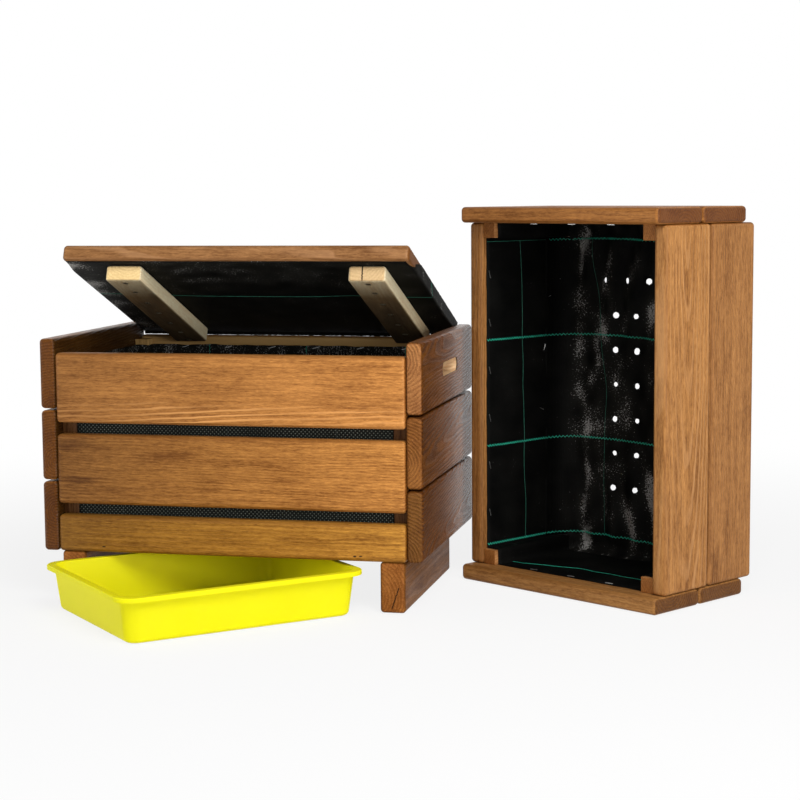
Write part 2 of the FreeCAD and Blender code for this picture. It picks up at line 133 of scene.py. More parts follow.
class Finish:
    """A material, with short names for the nodes it is made of."""

    SOCKETS = {
        "colour": "Base Color",
        "rough": "Roughness",
        "metal": "Metallic",
        "specular": "Specular IOR Level",
        "under": "Subsurface Weight",
        "under_reach": "Subsurface Scale",
        "under_colour": "Subsurface Radius",
    }

    def __init__(self, name):
        self.material = bpy.data.materials.new(name)
        self.material.use_nodes = True
        self.tree = self.material.node_tree
        self.tree.nodes.clear()
        self.out = self.tree.nodes.new("ShaderNodeOutputMaterial")
        self.shader = self.tree.nodes.new("ShaderNodeBsdfPrincipled")
        self.join(self.shader.outputs[0], self.out.inputs[0])

    def join(self, source, target):
        self.tree.links.new(source, target)

    def feed(self, socket, value):
        if isinstance(value, bpy.types.NodeSocket):
            self.join(value, socket)
        elif socket.type == "RGBA":
            socket.default_value = (*value, 1.0)
        else:
            socket.default_value = value

    def sum(self, operation, *values):
        node = self.tree.nodes.new("ShaderNodeMath")
        node.operation = operation
        for socket, value in zip(node.inputs, values):
            self.feed(socket, value)
        return node.outputs[0]

    def add(self, a, b):
        return self.sum("ADD", a, b)

    def less(self, a, b):
        return self.sum("SUBTRACT", a, b)

    def times(self, a, b):
        return self.sum("MULTIPLY", a, b)

    def size(self, a):
        return self.sum("ABSOLUTE", a)

    def length(self, a, b):
        return self.sum("SQRT", self.add(self.times(a, a), self.times(b, b)))

    def ramp(self, value, low, high, start=0.0, end=1.0, soft=False):
        node = self.tree.nodes.new("ShaderNodeMapRange")
        node.interpolation_type = "SMOOTHSTEP" if soft else "LINEAR"
        for socket, item in zip(node.inputs, (value, low, high, start, end)):
            self.feed(socket, item)
        return node.outputs[0]

    def step(self, value, low, high):
        return self.ramp(value, low, high, soft=True)

    def fall(self, value, low, high):
        return self.less(1.0, self.step(value, low, high))

    def within(self, value, limit, soft):
        return self.fall(self.size(value), limit, limit + soft)

    def swing(self, cloud, reach):
        """A cloud's value about its middle, times reach."""
        return self.times(self.less(cloud, 0.5), reach)

    def mix(self, share, a, b, blend="MIX"):
        node = self.tree.nodes.new("ShaderNodeMix")
        node.data_type = "RGBA"
        node.blend_type = blend
        for index, value in ((0, share), (6, a), (7, b)):
            self.feed(node.inputs[index], value)
        return node.outputs[2]

    def grey(self, value):
        return self.combine(value, value, value)

    def split(self, vector):
        node = self.tree.nodes.new("ShaderNodeSeparateXYZ")
        self.join(vector, node.inputs[0])
        return node.outputs

    def combine(self, x, y, z):
        node = self.tree.nodes.new("ShaderNodeCombineXYZ")
        for socket, value in zip(node.inputs, (x, y, z)):
            self.feed(socket, value)
        return node.outputs[0]

    def mapped(self, vector, location=(0, 0, 0), turn=(0, 0, 0), scale=(1, 1, 1)):
        node = self.tree.nodes.new("ShaderNodeMapping")
        self.join(vector, node.inputs[0])
        for socket, value in zip(node.inputs[1:], (location, turn, scale)):
            socket.default_value = value
        return node.outputs[0]

    def cloud(self, vector, stretch=(1, 1, 1), detail=2.0, rough=0.5, seed=0.0):
        node = self.tree.nodes.new("ShaderNodeTexNoise")
        node.noise_dimensions = "4D"
        self.join(self.mapped(vector, scale=stretch), node.inputs["Vector"])
        for socket, value in (("W", seed), ("Scale", 1.0), ("Detail", detail), ("Roughness", rough)):
            node.inputs[socket].default_value = value
        return node.outputs[0]

    def place(self):
        return self.tree.nodes.new("ShaderNodeTexCoord").outputs["Object"]

    def millimetres(self):
        return self.mapped(self.place(), scale=(1000, 1000, 1000))

    def facing(self, direction):
        x, y, z = self.split(self.tree.nodes.new("ShaderNodeTexCoord").outputs["Normal"])
        along = self.add(self.times(x, direction.x), self.times(y, direction.y))
        return self.size(self.add(along, self.times(z, direction.z)))

    def raise_by(self, height, strength, distance):
        node = self.tree.nodes.new("ShaderNodeBump")
        node.inputs["Strength"].default_value = strength
        node.inputs["Distance"].default_value = distance
        self.join(height, node.inputs["Height"])
        self.join(node.outputs[0], self.shader.inputs["Normal"])

    def set(self, **values):
        for name, value in values.items():
            self.feed(self.shader.inputs[self.SOCKETS[name]], value)


def dress(piece, *finishes):
    piece.data.materials.clear()
    for finish in finishes:
        piece.data.materials.append(finish.material)


def scaled(colour, red, green, blue):
    return (min(0.95, colour[0] * red), min(0.92, colour[1] * green), min(0.85, colour[2] * blue))


# Wood

WAYS = {"x": Vector((1, 0, 0)), "y": Vector((0, 1, 0)), "z": Vector((0, 0, 1))}
BARE_WOOD = (0.60, 0.37, 0.14)
FRESH_CUT = ((0.95, 0.68, 0.40), (0.84, 0.54, 0.29))
# painted shade for the battens' undersides: the mottled colours that face is multiplied by
UNDERSIDE_SHADE = ((0.125, 0.076, 0.034), (0.040, 0.022, 0.009))
DARK_MARK = (0.03, 0.014, 0.006)
CRACK = (0.015, 0.008, 0.004)

# Drying cracks: the end, where it starts across and through the board, its run, width and angle
RUNNER_CRACK = (-1, 1.0, 8.8, 33.0, 1.1, 198.6)
BATTEN_CRACK = (-1, -6.5, -12.0, 24.0, 1.4, 88.0)


def way(name):
    return -WAYS[name[1]] if name[0] == "-" else WAYS[name]


class Board(Finish):
    """Pine, in the board's own millimetres from its middle.

    x runs along the grain, z out of the face that shows and y across that face. Most functions lay
    one more mark of the making, or of painted light or shade, on a colour, and give back the new colour."""

    def __init__(self, node, place, grain, face, seed):
        super().__init__("pine of " + node.replace("_", " "))
        self.seed = seed
        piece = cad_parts[node]
        turn = place.to_3x3().normalized()
        along = (turn @ way(grain)).normalized()
        out = (turn @ way(face)).normalized()
        self.axes = Matrix((along, out.cross(along), out))
        points = [place.inverted() @ vertex.co for vertex in piece.data.vertices]
        lows = Vector([min(point[i] for point in points) for i in range(3)])
        highs = Vector([max(point[i] for point in points) for i in range(3)])
        middle = self.axes @ (place @ ((lows + highs) / 2))
        inside = turn.transposed()
        self.half = [abs((highs - lows).dot(inside @ axis)) / 2 for axis in self.axes]
        self.point = self.mapped(self.place(), tuple(-1000 * middle), tuple(self.axes.to_euler("XYZ")),
                                 (1000, 1000, 1000))
        self.x, self.y, self.z = self.split(self.point)
        self.blotch = self.cloud(self.point, (0.012, 0.030, 0.030), 3.0, 0.55, seed + 7.7)
        self.mottle = self.cloud(self.point, (0.045, 0.16, 0.16), 3.0, 0.6, seed + 6.6)
        self.fibre = self.cloud(self.point, (0.017, 0.46, 0.46), 4.0, 0.70, seed + 1.3)
        self.pore = self.cloud(self.point, (0.12, 1.0, 1.0), 2.0, 0.5, seed + 2.2)
        dress(piece, self)

    def grow(self, spacing, pith, lean, wave):
        """Finds the rings' late wood and their thin lines. The pith leans through the board and wanders."""
        slow = self.cloud(self.point, (0.0045, 0.016, 0.016), 2.0, 0.5, self.seed)
        quick = self.cloud(self.point, (0.035, 0.10, 0.10), 1.0, 0.5, self.seed + 3.7)
        away_y = self.less(self.y, self.add(pith[0], self.times(self.x, lean[0])))
        away_z = self.less(self.z, self.add(-pith[1], self.times(self.x, lean[1])))
        reach = self.add(self.length(away_y, away_z), self.swing(slow, wave))
        reach = self.add(reach, self.swing(quick, wave * 0.13))
        ring = self.sum("FRACT", self.times(reach, 1.0 / spacing))
        self.late = self.times(self.step(ring, 0.25, 0.80), self.fall(ring, 0.88, 1.0))
        self.line = self.times(self.step(ring, 0.50, 0.76), self.fall(ring, 0.90, 0.99))
        patch = self.cloud(self.point, (0.005, 0.02, 0.02), 1.0, 0.5, self.seed + 9.1)
        self.uneven = self.ramp(patch, 0.35, 0.65, 0.15, 1.0)

    def stain_depth(self, pale, dark, streak):
        """How light the stain is, from the fibres, flecks, rings and pores."""
        strand = self.cloud(self.point, (0.004, 0.13, 0.13), 3.0, 0.6, self.seed + 5.9)
        fleck = self.cloud(self.point, (0.10, 0.60, 0.60), 3.0, 0.80, self.seed + 3.1)
        depth = 0.54
        for cloud, share in ((self.fibre, 1.1), (strand, 0.95), (self.mottle, 0.3), (fleck, 1.8)):
            depth = self.add(depth, self.swing(cloud, share * streak))
        rings = self.less(self.times(self.line, pale), self.times(self.late, dark))
        depth = self.add(depth, self.times(self.uneven, rings))
        depth = self.less(depth, self.ramp(self.blotch, 0.45, 0.75, 0.0, 0.32))
        return self.less(depth, self.times(self.step(self.pore, 0.58, 0.68), 0.22))

    def cream_lines(self, colour, tone, cream, below):
        """Ring lines that the stain hardly took, up to a height across the board."""
        height = self.add(self.y, self.swing(self.blotch, 26.0))
        reach = self.fall(height, below - 7.0, below + 5.0)
        share = self.times(self.times(self.line, reach), self.times(self.uneven, cream))
        return self.mix(share, colour, scaled(tone, 1.75, 2.0, 2.6))

    def spot(self, x, y, reach_x, reach_y, ragged):
        far = self.length(self.times(self.less(self.x, x), 1.0 / reach_x),
                          self.times(self.less(self.y, y), 1.0 / reach_y))
        return self.fall(self.add(far, ragged), 1.5, 2.7)

    def dark_spots(self, colour, deep, spots, marks):
        ragged = self.times(self.add(self.blotch, self.mottle), 1.4)
        for x, y, reach_x, reach_y, strength in spots:
            shade = self.spot(x, y, reach_x, reach_y, ragged)
            colour = self.mix(self.times(shade, strength), colour, scaled(deep, 0.5, 0.42, 0.4))
        for x, y, reach_x, reach_y in marks:
            mark = self.spot(x, y, reach_x, reach_y, self.times(self.mottle, 0.6))
            colour = self.mix(mark, colour, DARK_MARK)
        return colour

    def painted_light_slope(self, colour, light_slope):
        """Painted light: the colour gets lighter toward +x and +y by the given shares, as light falls off.
        """
        along = self.times(self.x, light_slope[0] / self.half[0])
        across = self.times(self.y, light_slope[1] / self.half[1])
        share = self.add(1.0, self.add(along, across))
        return self.mix(1.0, colour, self.grey(share), "MULTIPLY")

    def worn_and_shaded_edges(self, colour, deep, light, edge_stain_and_shade):
        """Stain gathers and shade is painted on the rounded long edges; the stain rubs off in places."""
        round_y = self.step(self.size(self.y), self.half[1] - EDGE, self.half[1] - 0.3)
        round_z = self.step(self.size(self.z), self.half[2] - EDGE, self.half[2] - 0.3)
        edge = self.times(round_y, round_z)
        colour = self.mix(self.times(edge, edge_stain_and_shade), colour, deep)
        rubbed = self.times(edge, self.step(self.add(self.blotch, self.swing(self.fibre, 0.6)), 0.58, 0.70))
        return self.mix(self.sum("MINIMUM", rubbed, 0.5), colour, light)

    def painted_shade_inner_face(self, colour, share):
        # painted shade: the inner face darkened by the given share
        face = self.fall(self.z, 1.5 - self.half[2], 4.0 - self.half[2])
        return self.mix(face, colour, self.mix(1.0, colour, (share, share, share * 0.8), "MULTIPLY"))

    def bare_inner_face(self, colour, below):
        """The brush stopped short of the liner, so the inner face is bare below a height."""
        face = self.fall(self.z, 0.5 - self.half[2], 3.0 - self.half[2])
        height = self.add(self.y, self.swing(self.blotch, 9.0))
        low = self.fall(height, below - 1.0, below + 1.0)
        return self.mix(self.times(self.times(face, low), 0.9), colour, BARE_WOOD)

    def end_grain(self, colour, tone, ends, bare):
        end = self.step(self.facing(self.axes[0]), 0.55, 0.85)
        speck = self.cloud(self.point, (0.55, 0.55, 0.55), 4.0, 0.7, self.seed + 4.4)
        light = scaled(tone, *ends)
        deep = scaled(light, 0.80, 0.76, 0.7) if bare else scaled(light, 0.48, 0.40, 0.34)
        depth = self.add(self.times(self.late, 0.30), self.ramp(speck, 0.38, 0.68, 0.0, 0.8))
        depth = self.add(depth, self.ramp(self.blotch, 0.42, 0.75, 0.0, 0.6))
        return self.mix(end, colour, self.mix(depth, light, deep))

    def fresh_slot(self, colour, deep, slot):
        """The slot was cut after the board was stained, and its rim took the last coat."""
        along = self.within(self.less(self.x, slot), SLOT_LENGTH / 2 + 1, 1.0)
        across = self.within(self.y, SLOT_HEIGHT / 2 + 1, 1.0)
        wall = self.times(self.times(along, across), self.fall(self.facing(self.axes[2]), 0.3, 0.6))
        fresh = self.mix(self.ramp(self.mottle, 0.35, 0.65), *FRESH_CUT)
        height = self.add(self.z, self.swing(self.blotch, 1.5))
        rim = self.step(height, self.half[2] - 2.0, self.half[2] - 0.8)
        return self.mix(wall, colour, self.mix(rim, fresh, scaled(deep, 0.5, 0.45, 0.4)))

    def painted_shade_face(self, colour, face_shade):
        """The face that shows was left rough; painted shade darkens it, less so at its front end."""
        face = self.step(self.z, self.half[2] - 3.0, self.half[2] - 0.6)
        shade_colour = self.mix(self.ramp(self.blotch, 0.35, 0.65), *UNDERSIDE_SHADE)
        share = self.ramp(self.x, -0.98 * self.half[0], -0.5 * self.half[0], face_shade * 0.6, face_shade)
        return self.mix(self.times(face, share), colour, self.mix(1.0, colour, shade_colour, "MULTIPLY"))

    def crack(self, colour, end, y, z, run, width, angle):
        """A drying crack in an end, from (y, z) for run at an angle, with a ragged line."""
        c, s = math.cos(angle), math.sin(angle)
        dy = self.less(self.y, y)
        dz = self.less(self.z, z)
        along = self.add(self.times(dy, c), self.times(dz, s))
        rag = self.cloud(self.combine(along, 0.0, 0.0), (0.45, 1, 1), 2.0, 0.6, self.seed)
        off = self.less(self.times(dz, c), self.times(dy, s))
        off = self.add(off, self.swing(rag, 3.2))
        thin = self.within(off, width * 0.4, width * 0.5)
        long = self.times(self.step(along, 0.0, 1.5), self.fall(along, run - 5, run))
        near = self.step(self.times(self.x, end), self.half[0] - 9.0, self.half[0] - 7.0)
        return self.mix(self.times(self.times(thin, long), near), colour, CRACK)

    def coat(self, colour, rough, polish, shine, relief):
        """Sets the finished colour, its gloss and the raised grain. polish is the gloss gained toward +x."""
        gloss = self.add(self.fibre, self.times(self.line, 0.25))
        matt = self.ramp(gloss, 0.35, 0.85, rough + 0.08, rough - 0.05)
        matt = self.less(matt, self.times(self.x, polish / self.half[0]))
        self.set(colour=colour, rough=matt, specular=shine)
        grain = self.add(self.times(self.late, 0.8), self.times(self.pore, 0.25))
        self.raise_by(self.add(self.times(self.fibre, 0.6), grain), 0.6, 0.0013 * relief)


def pine(node, place, grain, face, tone, seed, spacing=3.6, pith=(20.0, 40.0), lean=(0.0, 0.0), wave=12.0,
         pale=0.3, dark=0.3, streak=1.0, cream=0.0, cream_below=99.0, spots=(), marks=(), light_slope=(0.0, 0.0),
         inner=1.0, ends=(0.85, 0.72, 0.50), bare=False, bare_below=None, slot=None, face_shade=0.0, cracks=(),
         rough=0.44, polish=0.0, shine=0.12, relief=0.4):
    """Pine on one board, stained to a tone or bare.

    Its rings lie spacing apart round the pith. pale, dark and cream are the strengths of their lines and
    streak is that of the fibres. inner paints shade on the inner face, and ends is the end grain's colour as
    shares of the tone. Places and lengths are in the board's millimetres."""
    board = Board(node, place, grain, face, seed)
    board.grow(spacing, pith, lean, wave)
    deep = scaled(tone, 0.75, 0.68, 0.58) if bare else scaled(tone, 0.50, 0.42, 0.34)
    light = scaled(tone, 1.50, 1.58, 1.66)
    colour = board.mix(board.stain_depth(pale, dark, streak), deep, light)
    if cream:
        colour = board.cream_lines(colour, tone, cream, cream_below)
    colour = board.dark_spots(colour, deep, spots, marks)
    if any(light_slope):
        colour = board.painted_light_slope(colour, light_slope)
    colour = board.worn_and_shaded_edges(colour, deep, light, 0.0 if bare else 0.6)
    if inner != 1.0:
        colour = board.painted_shade_inner_face(colour, inner)
    colour = board.end_grain(colour, tone, ends, bare)
    if bare_below is not None:
        colour = board.bare_inner_face(colour, bare_below)
    if slot is not None:
        colour = board.fresh_slot(colour, deep, slot)
    if face_shade:
        colour = board.painted_shade_face(colour, face_shade)
    for end, y, z, run, width, angle in cracks:
        colour = board.crack(colour, end, y, z, run, width, math.radians(angle))
    board.coat(colour, rough, polish, shine, relief)


def front_and_back_boards():
    # painted light: the front boards get lighter toward their right ends, as light falls off from the right
    pine("front_board_top", BASE, "x", "-y", (0.359, 0.148, 0.037), 1.0, spacing=6.8, pith=(-62, 6),
         lean=(0.02, 0.04), wave=22, pale=0.12, dark=0.12, cream=1.0, cream_below=-20.0,
         light_slope=(0.31, -0.02))
    pine("front_board_middle", BASE, "x", "-y", (0.326, 0.135, 0.031), 2.0, spacing=3.6, pith=(-66, 12),
         lean=(-0.03, 0.03), wave=24, pale=0.3, dark=0.5, light_slope=(0.43, 0.0),
         spots=((-222, 34, 34, 9, 0.5), (-212, -14, 30, 8, 0.5)))
    pine("front_board_low", BASE, "x", "-y", (0.298, 0.131, 0.020), 3.0, spacing=3.6, pith=(-50, 50),
         pale=0.3, dark=0.35, light_slope=(0.38, 0.0),
         marks=((-178, -17, 1.4, 0.5), (173, -18, 1.2, 0.7), (181, -17.5, 1.4, 0.5)))
    for index, level in enumerate(("low", "middle", "top")):
        pine("back_board_" + level, BASE, "-x", "y", (0.40, 0.17, 0.040), 10.0 + index,
             spacing=4.2 + 0.4 * index, pith=(-50 + 45 * index, 18), lean=(0.03, 0.04), cream=0.4,
             bare_below=60.0 if level == "top" else None)


def side_boards():
    slot = SLOT_Y - BOX_DEPTH / 2
    # painted light: the right boards' end grain is lighter, the more so up the box, and the left boards'
    # darker
    right_ends_lit = ((1.16, 1.45, 1.95), (1.75, 2.1, 3.0), (2.4, 3.2, 6.8))
    left_ends_shaded = ((0.53, 0.45, 0.26), (0.63, 0.55, 0.31), (0.63, 0.55, 0.31))
    for index, level in enumerate(("low", "middle", "top")):
        top = level == "top"
        # the right boards' dark tone is partly stain and partly painted shade from the second box beside
        # them
        pine("right_side_board_" + level, BASE, "y", "x", (0.185, 0.060, 0.009), 20.0 + index, spacing=4.4,
             pith=(-30 + 35 * index, 13), lean=(0.10, 0.05), wave=19, pale=1.6, dark=1.9, light_slope=(0.32, 0.0),
             ends=right_ends_lit[index], slot=slot if top else None, rough=0.33, polish=0.14, relief=2.0)
        # painted shade: the left boards' inner faces are darkened under the lid
        pine("left_side_board_" + level, BASE, "-y", "-x", (0.25, 0.098, 0.022), 30.0 + index, spacing=3.8,
             pith=(20 - 30 * index, 15), lean=(-0.07, 0.04), wave=17, pale=0.65, dark=0.6, inner=0.22,
             ends=left_ends_shaded[index], slot=-slot if top else None, rough=0.32, shine=0.13, relief=0.7)


def base_frame_wood():
    for index, side in enumerate(("left", "right")):
        cracks = (RUNNER_CRACK,) if side == "right" else ()
        pine("runner_" + side, BASE, "y", "x", (0.19, 0.070, 0.012), 40.0 + index, spacing=4.4,
             pith=(-12, 30), pale=0.5, dark=0.6, ends=(2.05, 2.1, 2.8), cracks=cracks, rough=0.42,
             shine=0.06)
        pine("base_rail_" + side, BASE, "y", "x", BARE_WOOD, 43.0 + index, bare=True, rough=0.66)
    for index, corner in enumerate(CORNERS):
        bare = "back" in corner
        # the front posts' dark tone is partly stain and partly painted shade, deep in the gaps between the
        # front boards
        tone = BARE_WOOD if bare else (0.12, 0.05, 0.015)
        pine("base_post_" + corner, BASE, "z", "-y", tone, 50.0 + index, spacing=3.2, bare=bare)
        pine("module_post_" + corner, SECOND, "z", "-y", (0.42, 0.19, 0.065), 55.0 + index, spacing=3.0,
             ends=(0.95, 0.85, 0.62))


def lid_wood():
    for index, name in enumerate(("front", "second", "third", "rear")):
        pine("lid_plank_" + name, LID, "x", "z", (0.27, 0.124, 0.044), 60.0 + index, spacing=4.2,
             pith=(34 - 25 * index, 14 + 8 * index), lean=(0.03, 0.03 - 0.02 * index), cream=0.5, dark=0.35)
    for index, side in enumerate(("left", "right")):
        cracks = (BATTEN_CRACK,) if side == "right" else ()
        ends = (0.76, 0.70, 0.62) if side == "right" else (1.3, 1.03, 0.86)
        pine("lid_batten_" + side, LID, "y", "-z", (0.90, 0.68, 0.40), 46.0 + index, spacing=4.2,
             pith=(6 - 16 * index, 24), pale=0.2, dark=0.30, streak=0.6, ends=ends, bare=True, face_shade=0.95,
             cracks=cracks, rough=0.62)


def second_box_wood():
    pine("module_front_board_top", SECOND, "x", "-y", (0.349, 0.155, 0.045), 70.0, spacing=6.5, pith=(3, 9),
         lean=(0.0, 0.075), wave=16, pale=0.1, dark=0.30, cream=0.5)
    pine("module_front_board_low", SECOND, "x", "-y", (0.305, 0.134, 0.041), 71.0, spacing=3.4,
         pith=(70, 30), pale=0.30, dark=0.35)
    for index, level in enumerate(("low", "top")):
        pine("module_back_board_" + level, SECOND, "-x", "y", (0.27, 0.115, 0.031), 74.0 + index,
             spacing=4.0, pith=(-20 + 40 * index, 16), lean=(0.0, 0.05), cream=0.4)
        pine("module_left_board_" + level, SECOND, "-y", "-x", (0.32, 0.146, 0.042), 78.0 + index,
             spacing=4.2, pith=(-15 + 30 * index, 18), pale=0.4, dark=0.4, ends=(0.515, 0.455, 0.38))
        pine("module_right_board_" + level, SECOND, "y", "x", (0.306, 0.122, 0.030), 82.0 + index,
             spacing=4.2, pith=(20 - 30 * index, 18), pale=0.4, dark=0.4, ends=(0.577, 0.52, 0.56))


# Metal, plastic and yarn

def zinc(name, colour, rough):
    metal = Finish(name)
    point = metal.millimetres()
    mottle = metal.cloud(point, (0.35, 0.35, 0.35), 3.0, 0.6, 4.0)
    scratch = metal.cloud(point, (0.15, 1.8, 1.8), 2.0, 0.5, 8.0)
    dull = metal.ramp(mottle, 0.35, 0.7, 0.0, 0.6)
    metal.set(colour=metal.mix(dull, colour, scaled(colour, 0.5, 0.5, 0.5)), metal=1.0,
              rough=metal.ramp(scratch, 0.3, 0.7, rough - 0.08, rough + 0.12))
    metal.raise_by(metal.add(mottle, scratch), 0.15, 0.0002)
    return metal


def tray_plastic():
    plastic = Finish("lime tray plastic")
    point = plastic.millimetres()
    flow = plastic.cloud(point, (0.012, 0.012, 0.012), 2.0, 0.5, 1.0)
    skin = plastic.cloud(point, (0.6, 0.6, 0.6), 2.0, 0.5, 2.0)
    dust = plastic.cloud(point, (0.35, 0.35, 0.35), 4.0, 0.7, 3.0)
    colour = plastic.mix(plastic.ramp(flow, 0.3, 0.7), (0.88, 0.82, 0.011), (0.84, 0.79, 0.008))
    colour = plastic.mix(plastic.times(plastic.step(dust, 0.62, 0.80), 0.10), colour, (0.86, 0.83, 0.22))
    plastic.set(colour=colour, rough=plastic.ramp(skin, 0.3, 0.7, 0.30, 0.40), specular=0.04, under=0.35,
                under_reach=0.012, under_colour=(1.0, 0.9, 0.03))
    plastic.raise_by(skin, 0.05, 0.0002)
    return plastic


def yarn(name, colour):
    thread = Finish(name)
    twist = thread.cloud(thread.millimetres(), (0.8, 0.8, 0.8), 2.0, 0.6, 1.0)
    # painted shade in the hollows of the twist
    hollow_shade = scaled(colour, 0.35, 0.35, 0.35)
    thread.set(colour=thread.mix(thread.ramp(twist, 0.35, 0.65), colour, hollow_shade), rough=0.5, specular=0.4)
    thread.raise_by(twist, 0.3, 0.0003)
    return thread


# Woven liner

class Cloth(Finish):
    """A plain weave of flat tapes, each cell mm wide, on the sheet's own flat place.

    over is high where the tapes across lie on top and low where those along it do. across and down
    are high in the middle of a tape and 0 at its edges."""

    def __init__(self, name, cell):
        super().__init__(name)
        node = self.tree.nodes.new("ShaderNodeUVMap")
        node.uv_map = "cloth"
        self.flat = self.mapped(node.outputs[0], scale=(1000, 1000, 1000))
        u, v, level = self.split(self.flat)
        wave_u = self.sum("SINE", self.times(u, math.pi / cell))
        wave_v = self.sum("SINE", self.times(v, math.pi / cell))
        self.over = self.times(wave_u, wave_v)
        self.across = self.size(wave_u)
        self.down = self.size(wave_v)

    def sheen(self):
        node = self.tree.nodes.new("ShaderNodeAttribute")
        node.attribute_name = "sheen"
        return node.outputs["Fac"]


def liner_inside():
    """Near-black tapes, with grey specks of wear and painted glint where the painted sheen is high."""
    cloth = Cloth("black woven liner, inside", 1.7)
    speck = cloth.cloud(cloth.flat, (0.45, 0.34, 1), 3.0, 0.72, 1.0)
    clump = cloth.cloud(cloth.flat, (0.030, 0.016, 1), 3.0, 0.6, 2.0)
    lint = cloth.cloud(cloth.mapped(cloth.flat, turn=(0, 0, 0.5)), (0.04, 0.9, 1), 1.0, 0.4, 5.0)
    sheen = cloth.sheen()
    colour = cloth.mix(cloth.ramp(clump, 0.35, 0.7), (0.0009, 0.0010, 0.0009), (0.0036, 0.0034, 0.0030))
    # painted sheen: the cloth is lighter where the piece's sheen is high
    colour = cloth.mix(sheen, colour, (0.030, 0.029, 0.025))
    # grey specks, partly wear and partly painted glints, gather where the sheen is high
    wear_and_glint = cloth.add(cloth.times(sheen, 0.27), cloth.swing(clump, 0.3))
    worn_and_glinting = cloth.step(cloth.add(speck, wear_and_glint), 0.70, 0.76)
    colour = cloth.mix(cloth.times(worn_and_glinting, 0.9), colour, (0.42, 0.41, 0.39))
    colour = cloth.mix(cloth.times(cloth.step(lint, 0.80, 0.86), 0.30), colour, (0.13, 0.13, 0.12))
    # painted shade: each tape is darker toward its edges, where it dips under the crossing tapes
    tape = cloth.ramp(cloth.times(cloth.across, cloth.down), 0.0, 1.0, 0.6, 1.25)
    colour = cloth.mix(1.0, colour, cloth.grey(tape), "MULTIPLY")
    cloth.set(colour=colour, rough=0.62, specular=0.05)
    cloth.raise_by(cloth.add(cloth.across, cloth.down), 0.35, 0.0004)
    return cloth


def liner_outside():
    """The side that faces the boards: fresh tapes, whose crossings catch the light as a checker."""
    cloth = Cloth("black woven liner, outside", 2.75)
    clump = cloth.cloud(cloth.flat, (0.02, 0.03, 1), 2.0, 0.5, 3.0)
    shine = cloth.times(cloth.step(cloth.over, 0.25, 0.80), cloth.ramp(clump, 0.3, 0.7, 0.45, 1.0))
    colour = cloth.mix(shine, (0.003, 0.004, 0.003), (0.14, 0.155, 0.13))
    dim = cloth.times(cloth.step(cloth.times(cloth.over, -1.0), 0.35, 0.90), 0.22)
    colour = cloth.mix(dim, colour, (0.05, 0.055, 0.05))
    cloth.set(colour=colour, rough=0.6, specular=0.08)
    cloth.raise_by(cloth.add(cloth.across, cloth.down), 0.5, 0.0005)
    return cloth


def ride_piece(piece, finishes, body):
    bpy.context.scene.collection.objects.link(piece)
    dress(piece, *finishes)
    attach(piece, body)
    return piece


def cloth_sheet(name, columns, rows, surface, body, holes=()):
    """A sheet of liner, its inner side along the normals. surface(u, v) gives, for u and v from 0 to 1,
    a point in the row's frame, its place on the flat cloth in metres and its sheen, or nothing."""
    bm = bmesh.new()
    uv = bm.loops.layers.uv.new("cloth")
    sheen = bm.verts.layers.float.new("sheen")
    bmesh.ops.create_grid(bm, x_segments=columns, y_segments=rows, size=0.5)
    flats = {}
    skipped = []
    for vertex in bm.verts:
        found = surface(vertex.co.x + 0.5, vertex.co.y + 0.5)
        if found is None:
            skipped.append(vertex)
        else:
            vertex.co, flats[vertex], vertex[sheen] = found
    bmesh.ops.delete(bm, geom=skipped, context="VERTS")
    for face in bm.faces:
        spots = [flats[loop.vert] for loop in face.loops]
        for loop, spot in zip(face.loops, spots):
            loop[uv].uv = spot
    for spot, rim in holes:
        open_hole(bm, spot, rim)
    mesh = bpy.data.meshes.new(name)
    bm.to_mesh(mesh)
    bm.free()
    for polygon in mesh.polygons:
        polygon.use_smooth = True
    piece = ride_piece(bpy.data.objects.new(name, mesh), (LINER, LINER_OUTSIDE), body)
    solid = piece.modifiers.new("cloth thickness", "SOLIDIFY")
    solid.thickness = CLOTH / 1000
    solid.offset = 0.0
    solid.material_offset = 1
    return piece


def open_hole(bm, spot, rim):
    """Opens the cloth round a spot, and draws its edge to rim(away) metres from there."""
    reach = DRAIN_RADIUS * 1.15 / 1000
    gone = [face for face in bm.faces if (face.calc_center_median() - spot).length < reach]
    edge = {vertex for face in gone for vertex in face.verts}
    bmesh.ops.delete(bm, geom=gone, context="FACES")
    for vertex in edge:
        if vertex.is_valid:
            away = vertex.co - spot
            vertex.co = spot + away.normalized() * rim(away)


def torn_rim(size, narrow, angle):
    def rim(away):
        turn = math.atan2(away.z, away.x + away.y)
        return size * (narrow + (1 - narrow) * abs(math.cos(turn - angle)))
    return rim


